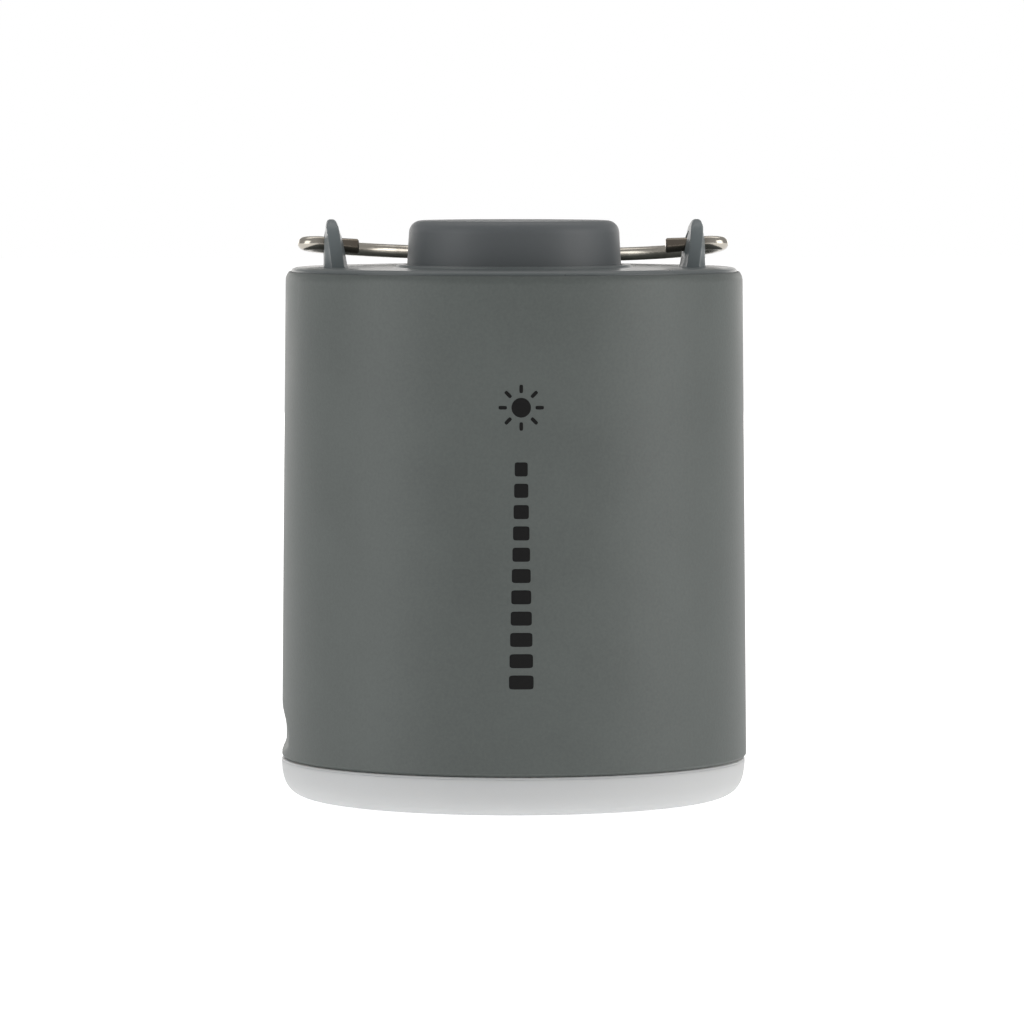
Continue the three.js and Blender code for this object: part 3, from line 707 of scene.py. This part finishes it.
def bailCentreLine():
    # in its own plane: straight stub, bend that meets the half circle, half circle, and the mirror image
    meetX = math.sqrt((bail["circleR"] - bail["bendR"]) ** 2 - bail["bendR"] ** 2)
    meet = math.atan2(bail["bendR"], meetX)
    out = np.linspace(0, 1, 24)[:-1, None]
    rightStub = (bail["rightStubX"], 0) + (meetX - bail["rightStubX"], 0) * out
    leftStub = (bail["leftStubX"], 0) + (meetX - bail["leftStubX"], 0) * out
    turn = np.linspace(-np.pi / 2, meet, 28)[:-1]
    bend = np.stack([meetX + bail["bendR"] * np.cos(turn), bail["bendR"] * (1 + np.sin(turn))], axis=-1)
    sweep = np.linspace(meet, np.pi / 2, 110)
    half = np.stack([bail["circleR"] * np.cos(sweep), bail["circleR"] * np.sin(sweep)], axis=-1)
    right = np.concatenate([rightStub, bend, half])
    left = np.concatenate([leftStub, bend, half[:-1]])[::-1] * (-1, 1)
    return np.concatenate([right, left])


def bailWire():
    # a circle carried along the centre line: line + across * r cos a + up * r sin a. Near its ends it is
    # crimped, narrower across and as much taller, and each end is chamfered.
    line = bailCentreLine()
    ahead = np.gradient(line, axis=0)
    ahead = ahead / np.linalg.norm(ahead, axis=1)[:, None]
    across = np.stack([ahead[:, 1], -ahead[:, 0]], axis=-1)
    length = np.concatenate([[0], np.cumsum(np.linalg.norm(np.diff(line, axis=0), axis=1))])
    fromEnd = np.minimum(length, length[-1] - length)
    crimped = bail["crimp"] * (1 - smoothStep(fromEnd / bail["crimpLength"]))
    # for each ring: its place on the line, its shift along it and its share of the wire's radius
    chamfer, small = bail["chamfer"], 1 - bail["chamfer"] / bail["wireR"]
    last = len(line) - 1
    at = np.concatenate([[0, 0, 0], np.arange(2, last - 1), [last, last, last]])
    shift = np.concatenate([[0, 0, chamfer], np.zeros(last - 3), [-chamfer, 0, 0]])
    radius = bail["wireR"] * np.concatenate([[0, small, 1], np.ones(last - 3), [1, small, 0]])
    angle = np.arange(40) * (2 * np.pi / 40)
    wide = (radius * (1 - crimped[at]))[:, None] * np.cos(angle)
    z = (radius * (1 + crimped[at]))[:, None] * np.sin(angle)
    middle = line[at] + ahead[at] * shift[:, None]
    x = middle[:, :1] + across[at, :1] * wide
    y = middle[:, 1:] + across[at, 1:] * wide
    # hand-bent: the loop is warped by warp * x * y, and each stub drops evenly towards its end. The
    # droop then turns the whole loop down about X.
    droop = math.radians(bail["droop"])
    onStub = y < 1.5 * bail["bendR"]
    reach = np.clip((bail["bentX"] - np.abs(x)) / (bail["bentX"] - bail["leftStubX"]), 0, 1.1) * onStub
    fall = np.where(x > 0, bail["rightDroop"], bail["leftDroop"]) * reach
    z = z - bail["warp"] * x * np.clip(y, 0, None) - fall
    y, z = y * math.cos(droop) + z * math.sin(droop), z * math.cos(droop) - y * math.sin(droop)
    return gridMesh("bailWire", np.stack([x, y, z + bail["hingeZ"]], axis=-1), sharpAngle=40)


place(bailWire(), bailMetal, "bail", "bail_steel", "bail_wire")
print("bail")


diffuser = {
    "topZ": 5.7, "radius": 32.94, "corner": 7.57, "squareness": 3.8, "boreR": 30.9, "floorZ": 1.8,
    "rimRounding": 0.3, "shift": -0.12,
}


def diffuserLens():
    # outside corner is a superellipse: r = r0 + c sin(a)^(2/n), z = c - c cos(a)^(2/n)
    power = 2 / diffuser["squareness"]
    corner = diffuser["corner"]
    rimZ = diffuser["topZ"] - diffuser["rimRounding"]
    last = math.acos((1 - rimZ / corner) ** (1 / power))
    a = last * np.linspace(0, 1, 48) ** 1.6
    side = np.stack([diffuser["radius"] - corner + corner * np.sin(a) ** power,
                     corner - corner * np.cos(a) ** power], axis=-1)
    rim = softOutline([
        tuple(side[-1]),
        (diffuser["radius"] - 0.01, diffuser["topZ"], diffuser["rimRounding"] * 0.9),
        (diffuser["boreR"], diffuser["topZ"], 0.3),
        (diffuser["boreR"], diffuser["floorZ"], 2.2),
        (0.0, diffuser["floorZ"]),
    ])
    under = np.stack([np.linspace(0, side[0, 0], 9)[:-1], np.zeros(8)], axis=-1)
    outline = np.concatenate([under, side, rim[1:]])
    points = turnedPoints(outline, 288, (diffuser["shift"], 0.0))
    return gridMesh("diffuserLens", points)


place(diffuserLens(), diffuserPlastic, "lamp_head", "diffuser", "diffuser_lens")
print("diffuser")


ring = {
    "outerR": 30.55, "boreR": 28.4, "footZ": 4.3, "topZ": 13.2, "grooveR": 29.6, "grooveFootZ": 9.0,
    "grooveTopZ": 10.6, "shelfR": 23.6, "shelfFootZ": 6.6, "shelfTopZ": 8.6,
}


def headRing():
    # the outline (skirt, seal groove, top, inner shelf) carried round the axis
    outer, bore, groove, shelf = ring["outerR"], ring["boreR"], ring["grooveR"], ring["shelfR"]
    corners = [
        (bore, ring["footZ"], 0.2), (outer, ring["footZ"], 0.3), (outer, ring["grooveFootZ"], 0.12),
        (groove, ring["grooveFootZ"], 0.15), (groove, ring["grooveTopZ"], 0.15),
        (outer, ring["grooveTopZ"], 0.12), (outer, ring["topZ"], 0.5), (bore, ring["topZ"], 0.3),
        (bore, ring["shelfTopZ"], 0.15), (shelf, ring["shelfTopZ"], 0.3), (shelf, ring["shelfFootZ"], 0.3),
        (bore, ring["shelfFootZ"], 0.2),
    ]
    return turned("headRing", corners, closed=True, sides=224, steps=5)


seal = {"radius": 30.25, "wireR": 0.5, "middleZ": 9.8}


def headSeal():
    # a ring of round section: r = ring radius + wire cos a, z = middle + wire sin a
    a = np.linspace(0, 2 * np.pi, 25)[:-1]
    r = seal["radius"] + seal["wireR"] * np.cos(a)
    z = seal["middleZ"] + seal["wireR"] * np.sin(a)
    outline = np.stack([r, z], axis=-1)
    return gridMesh("headSeal", turnedPoints(outline, 224), closeAlong=True)


dish = {"neckR": 13.0, "reach": 14.9, "neckZ": 8.1, "fall": 5.1, "curve": 1.15, "wall": 0.5, "rimWall": 0.3}


def reflectorDish():
    # a dish from the LEDs out to the rim: z = neck - fall * out ^ curve, its wall thicker at the rim
    out = np.linspace(0, 1, 24)
    r = dish["neckR"] + dish["reach"] * out
    z = dish["neckZ"] - dish["fall"] * out ** dish["curve"]
    inside = np.stack([r, z], axis=-1)
    outside = np.stack([r, z + dish["wall"] + dish["rimWall"] * out], axis=-1)[::-1]
    return gridMesh("reflectorDish", turnedPoints(np.concatenate([inside, outside]), 192), closeAlong=True)


def roundBoard(name, node, rounding):
    # a disc as wide and thick as its node, its edge rounded
    _, radius, footZ, topZ = nodeSpan(node)
    corners = [(0, footZ), (radius, footZ, rounding), (radius, topZ, rounding), (0, topZ)]
    return turned(name, corners, sides=160, steps=4)


def roundContact(name, node):
    # a disc with a shallow dish pressed into its middle
    centre, radius, footZ, topZ = nodeSpan(node)
    rounding = (topZ - footZ) * 0.3
    pressedZ = topZ - 0.14
    corners = [
        (0, footZ), (radius, footZ, rounding), (radius, topZ, rounding), (radius * 0.45, topZ, 0.1),
        (radius * 0.36, pressedZ, 0.1), (0, pressedZ),
    ]
    return turned(name, corners, sides=64, centre=centre, steps=4)


def coilPoints(footR, headR, footZ, headZ, turns, wire, centre, closedEnds=0.0, sides=16, perTurn=48):
    # centre line (r cos a, r sin a, z), r running evenly from foot to head radius; with closed ends
    # the height eases in and out so that the first and last turns lie flat
    t = np.linspace(0, 1, int(turns * perTurn))
    a = 2 * np.pi * turns * t
    ease = (1 - closedEnds) * t + closedEnds * smoothStep(t)
    r = footR + (headR - footR) * t
    z = footZ + wire + (headZ - footZ - 2 * wire) * ease
    line = np.stack([centre[0] + r * np.cos(a), centre[1] + r * np.sin(a), z], axis=-1)
    ahead = np.gradient(line, axis=0)
    ahead = ahead / np.linalg.norm(ahead, axis=1)[:, None]
    outward = np.stack([np.cos(a), np.sin(a), np.zeros_like(a)], axis=-1)
    upward = np.cross(ahead, outward)
    upward = upward / np.linalg.norm(upward, axis=1)[:, None]
    outward = np.cross(upward, ahead)
    section = np.arange(sides) * (2 * np.pi / sides)
    body = line[:, None] + wire * (np.cos(section)[None, :, None] * outward[:, None]
                                   + np.sin(section)[None, :, None] * upward[:, None])
    start = np.repeat(line[:1, None], sides, axis=1)
    end = np.repeat(line[-1:, None], sides, axis=1)
    return np.concatenate([start, body, end])


coneSpring = {
    "tipR": 2.6, "seatR": 5.4, "turns": 2.5, "wire": 0.35, "pitchR": 15.5, "angles": (90, 210, 330),
}


def cellSpring(number):
    # a coil whose radius runs evenly from seatR to tipR; spring 2 stands the other way up
    _, _, footZ, topZ = nodeSpan(f"cell_spring_{number}")
    centre = polar(coneSpring["pitchR"], coneSpring["angles"][number - 1])
    ends = (coneSpring["seatR"], coneSpring["tipR"])
    if number == 2:
        ends = ends[::-1]
    points = coilPoints(*ends, footZ, topZ, coneSpring["turns"], coneSpring["wire"], centre)
    return gridMesh(f"cellSpring{number}", points, sharpAngle=60)


screw = {
    "tipR": 0.62, "shankR": 0.9, "headR": 1.9, "head": 1.2, "armHalf": 0.3, "armReach": 1.15,
    "recess": 0.62, "recessFall": 0.45,
}


def screwPiece(name, node, headDown):
    # pan head with a cross recess: z - recess * (near an arm's line) * (within its reach), which
    # grows shallower along the arm
    centre, _, footZ, topZ = nodeSpan(node)
    tall = topZ - footZ
    shankTop = tall - screw["head"]
    corners = [
        (0, 0), (screw["tipR"], 0, 0.1), (screw["shankR"], 0.4, 0.2), (screw["shankR"], shankTop, 0.1),
        (screw["headR"], shankTop, 0.15), (screw["headR"], tall - 0.1, 0.55), (0, tall),
    ]
    outline = denser(softOutline(corners, steps=6), 0.09)
    points = turnedPoints(outline, 72)
    x, y, z = points[..., 0], points[..., 1], points[..., 2]
    arm = np.minimum(np.abs(x), np.abs(y))
    along = np.maximum(np.abs(x), np.abs(y))
    cross = smoothStep((screw["armHalf"] - arm) / 0.14) * smoothStep((screw["armReach"] - along) / 0.25)
    onHead = z > tall - 0.35
    sunk = z - screw["recess"] * cross * (1 - screw["recessFall"] * along)
    points[..., 2] = np.where(onHead, sunk, z)
    if headDown:
        points = points[::-1].copy()
        points[..., 2] = tall - points[..., 2]
    points[..., :2] += centre
    points[..., 2] += footZ
    return gridMesh(name, points, sharpAngle=40)


led = {"domeR": 1.25, "domeFootR": 1.35, "baseR": 1.75, "base": 0.45}


def ledPiece(number):
    # a rounded dome hanging from its round base
    centre, _, footZ, topZ = nodeSpan(f"led_{number}")
    baseZ = topZ - led["base"]
    corners = [
        (0, footZ), (led["domeR"], footZ + 0.12, 0.55), (led["domeFootR"], baseZ, 0.05),
        (led["baseR"], baseZ, 0.08), (led["baseR"], topZ), (0, topZ),
    ]
    return turned(f"led{number}", corners, sides=48, centre=centre, steps=6)


place(headRing(), whitePlastic, "lamp_head", "white_plastic", "head_ring")
place(headSeal(), sealRubber, "lamp_head", "seal_rubber", "head_seal")
place(reflectorDish(), whitePlastic, "lamp_head", "white_plastic", "reflector")
place(roundBoard("ledBoard", "led_board", 0.08), whiteBoard, "lamp_head", "white_board", "led_board")
place(roundBoard("heatSpreader", "heat_spreader", 0.25), spreaderMetal, "lamp_head", "spreader_aluminium",
      "heat_spreader")
place(roundBoard("contactBoard", "contact_board", 0.08), greenBoard, "lamp_head", "green_board",
      "contact_board")
for number in (1, 3):
    place(roundContact(f"contactPad{number}", f"contact_pad_{number}"), contactBrass, "lamp_head",
          "contact_brass", f"contact_pad_{number}")
for number in range(1, 8):
    place(ledPiece(number), ledSilicone, "lamp_head", "led", f"led_{number}")
for number in (1, 2, 3):
    place(screwPiece(f"headScrew{number}", f"head_screw_{number}", False), screwSteel, "lamp_head",
          "screw_steel", f"head_screw_{number}")
    place(cellSpring(number), springMetal, "lamp_head" if number == 2 else "housing", "spring_steel",
          f"cell_spring_{number}")
print("lamp head")


cell = {"radius": 7.1, "rimR": 6.3, "shoulderR": 6.5, "dishR": 4.6, "dish": 0.12, "nubR": 2.75, "nub": 1.0}


def cellPiece(number):
    # the outline (dished foot, rounded rims, shoulder, nub) carried round the cell's own axis; cells 1
    # and 3 stand upside down
    centre, _, footZ, topZ = nodeSpan(f"cell_{number}")
    tall = topZ - footZ
    canZ = tall - cell["nub"]
    corners = [
        (0, cell["dish"]), (cell["dishR"], cell["dish"], 0.1), (cell["dishR"] + 0.4, 0.0, 0.1),
        (cell["rimR"], 0.0, 0.3), (cell["radius"], 0.5, 0.4), (cell["radius"], canZ - 0.5, 0.5),
        (cell["shoulderR"], canZ, 0.3), (cell["nubR"], canZ, 0.15), (cell["nubR"] - 0.1, tall, 0.35),
        (0, tall),
    ]
    points = turnedPoints(softOutline(corners, steps=6), 96, centre)
    if number == 2:
        points[..., 2] += footZ
    else:
        points[..., 2] = topZ - points[..., 2]
    return gridMesh(f"cell{number}", points)


for number in (1, 2, 3):
    sleeve = cellSleeve(f"cellSleeve{number}", *nodeSpan(f"cell_{number}")[2:])
    place(cellPiece(number), sleeve, "housing", "cell_sleeve", f"cell_{number}")
    place(screwPiece(f"capScrew{number}", f"cap_screw_{number}", True), screwSteel, "housing",
          "screw_steel", f"cap_screw_{number}")
place(roundBoard("switchBoard", "switch_board", 0.08), greenBoard, "housing", "green_board", "switch_board")


buttonSpring = {"radius": 6.6, "wire": 0.35, "turns": 6.0, "travel": 1.5, "closedEnds": 0.6}


def buttonSpringPiece():
    # a plain coil as tall as its node, with a mesh of its own; it is drawn at rest, not shortened by the
    # button's travel
    _, _, footZ, topZ = nodeSpan("button_spring")
    radius = buttonSpring["radius"]
    points = coilPoints(radius, radius, footZ, topZ, buttonSpring["turns"], buttonSpring["wire"], (0, 0),
                        buttonSpring["closedEnds"])
    piece = place(gridMesh("buttonSpring", points, sharpAngle=60), springMetal, "housing", "spring_steel",
                  "button_spring")
    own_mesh(piece)


buttonSpringPiece()

# pieces that stay as the frame has them, with their own finishes
carried = {
    "battery_cradle": blackPlastic, "switch_body": blackPlastic, "driver_chip": blackPlastic,
    "switch_plunger": whitePlastic, "feed_rod": contactBrass, "top_contact_1": contactBrass,
    "top_contact_2": contactBrass, "top_contact_3": contactBrass,
}
for node, material in carried.items():
    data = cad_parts[node].data
    data.materials.clear()
    data.materials.append(material)
print("inner parts")


# printed mark: a plain light symbol over a row of bars that grow wider
mark = {
    "azimuth": -1.3, "ink": 0.018, "sunZ": 56.6, "discR": 1.35, "rayFrom": 2.0, "rayLength": 1.15,
    "rayWidth": 0.5, "rays": 8, "barTopZ": 49.6, "barFootZ": 17.4, "bars": 11, "barFill": 0.66,
    "barWidths": (1.8, 3.4),
}


def inkPatch(name, across, z, halfAcross, halfUp, turn=0.0, squareness=2.0):
    # a superellipse patch laid on the housing: rings grow from its middle to its edge, then drop
    # below the skin; distance across becomes an angle of distance / radius round the axis
    around = np.arange(56) * (2 * np.pi / 56)
    power = 2 / squareness
    edgeAcross = halfAcross * np.sign(np.cos(around)) * np.abs(np.cos(around)) ** power
    edgeUp = halfUp * np.sign(np.sin(around)) * np.abs(np.sin(around)) ** power
    grow = np.array([0.0, 0.5, 0.85, 0.97, 1.0, 1.0, 0.5, 0.0])[:, None]
    lift = np.array([1.0, 1.0, 1.0, 1.0, 0.8, -3.0, -3.0, -3.0])[:, None] * mark["ink"]
    s, u = grow * edgeAcross, grow * edgeUp
    side = across + s * math.cos(turn) - u * math.sin(turn)
    height = z + s * math.sin(turn) + u * math.cos(turn)
    radius = shellRadius(height) + lift
    angle = math.radians(mark["azimuth"]) + side / shell["footR"]
    points = np.stack([radius * np.sin(angle), -radius * np.cos(angle), height], axis=-1)
    return gridMesh(name, points, sharpAngle=50)


def printedMark():
    # a disc, its rays at equal angles, and bars at an equal pitch
    patches = [inkPatch("sunDisc", 0, mark["sunZ"], mark["discR"], mark["discR"])]
    for i in range(mark["rays"]):
        turn = 2 * math.pi * i / mark["rays"]
        middle = mark["rayFrom"] + mark["rayLength"] / 2
        across, z = middle * math.cos(turn), mark["sunZ"] + middle * math.sin(turn)
        half = mark["rayLength"] / 2, mark["rayWidth"] / 2
        patches.append(inkPatch(f"ray{i}", across, z, *half, turn, 4.0))
    pitch = (mark["barTopZ"] - mark["barFootZ"]) / mark["bars"]
    narrow, wide = mark["barWidths"]
    for i in range(mark["bars"]):
        width = narrow + (wide - narrow) * i / (mark["bars"] - 1)
        z = mark["barTopZ"] - pitch * (i + 0.5)
        patches.append(inkPatch(f"bar{i}", 0, z, width / 2, pitch * mark["barFill"] / 2, 0.0, 7.0))
    return joined("printedMark", patches, sharpAngle=50)


place(printedMark(), markInk, "housing", "shell_plastic")
print("printed mark")


studio = {
    "surround": 0.345, "floorGlow": 0.38, "floorSeen": 0.78, "floorSide": 4000.0, "floorZ": -0.05,
    "aimZ": 40.0,
    "boxes": [
        # name, azimuth, elevation, distance, width, height, power, warmth
        ("leftBox", -70, 8, 0.9, 0.5, 0.9, 2.25, 0.0),
        ("rightBox", 70, 8, 0.9, 0.6, 0.9, 3.2, 0.03),
        ("backBox", 180, 7, 1.3, 2.0, 0.36, 3.4, 0.06),
        ("overheadBox", 180, 68, 1.0, 1.2, 0.5, 1.6, 0.04),
    ],
}


def paleFloor():
    # one wide square just under the lantern
    side, low = studio["floorSide"], studio["floorZ"]
    floor = gridMesh("floor", np.array([[[-side, -side, low], [-side, side, low]],
                                        [[side, -side, low], [side, side, low]]]), closeAround=False)
    material, tree, shader = newMaterial("floorPaper")
    tone = noise(tree, objectVector(tree), 3.0, 2.0)
    tree.links.new(mixColor(tree, tone, gray(0.9), gray(0.93)), shader["Base Color"])
    seen = addNode(tree, "ShaderNodeLightPath").outputs["Is Camera Ray"]
    glow = mapRange(tree, seen, 0.0, 1.0, studio["floorGlow"], studio["floorSeen"])
    tree.links.new(glow, shader["Emission Strength"])
    shader["Emission Color"].default_value = gray(1.0)
    shader["Roughness"].default_value = 0.9
    floor.data.materials.append(material)


def softWorld():
    # white where the camera looks past the object, and a dim even surround for everything else
    world = bpy.data.worlds.new("studio")
    bpy.context.scene.world = world
    world.use_nodes = True
    tree = world.node_tree
    background = tree.nodes["Background"].inputs
    background["Color"].default_value = (1.0, 1.0, 1.0, 1.0)
    seen = addNode(tree, "ShaderNodeLightPath").outputs["Is Camera Ray"]
    tree.links.new(mapRange(tree, seen, 0.0, 1.0, studio["surround"], 1.0), background["Strength"])


def softBox(name, azimuth, elevation, distance, width, height, power, warmth):
    # an area light at a bearing from the front and a height above level, in metres, facing the lantern
    light = bpy.data.lights.new(name, "AREA")
    light.shape = "RECTANGLE"
    light.size, light.size_y = width, height
    light.energy = power
    light.color = (1.0, 1.0 - 0.5 * warmth, 1.0 - warmth)
    lamp = bpy.data.objects.new(name, light)
    a, e = math.radians(azimuth), math.radians(elevation)
    back = np.array([math.sin(a) * math.cos(e), -math.cos(a) * math.cos(e), math.sin(e)])
    lamp.location = back * distance + np.array([0, 0, studio["aimZ"] * mm])
    lamp.rotation_euler = (math.pi / 2 - e, 0, a)
    bpy.context.scene.collection.objects.link(lamp)
    lamp.visible_camera = False


view = {"azimuth": -3.0, "distance": 959.55, "height": 94.74, "aimZ": 40.45, "aimLeft": 0.30, "lens": 238.0}


def frontCamera():
    # stands in front, a little above, and looks down at aimZ on the axis
    camera = bpy.data.objects.new("camera", bpy.data.cameras.new("camera"))
    camera.data.lens = view["lens"]
    camera.data.sensor_width = 36.0
    a = math.radians(view["azimuth"])
    right = np.array([math.cos(a), math.sin(a), 0])
    back = np.array([math.sin(a), -math.cos(a), 0])
    shift = -right * view["aimLeft"]
    stand = back * view["distance"] + shift + np.array([0, 0, view["height"]])
    camera.location = stand * mm
    tilt = math.atan2(view["height"] - view["aimZ"], view["distance"])
    camera.rotation_euler = (math.pi / 2 - tilt, 0, a)
    bpy.context.scene.collection.objects.link(camera)
    bpy.context.scene.camera = camera


paleFloor()
softWorld()
for box in studio["boxes"]:
    softBox(*box)
frontCamera()
bpy.context.scene.view_settings.view_transform = "Standard"
print("stage set")
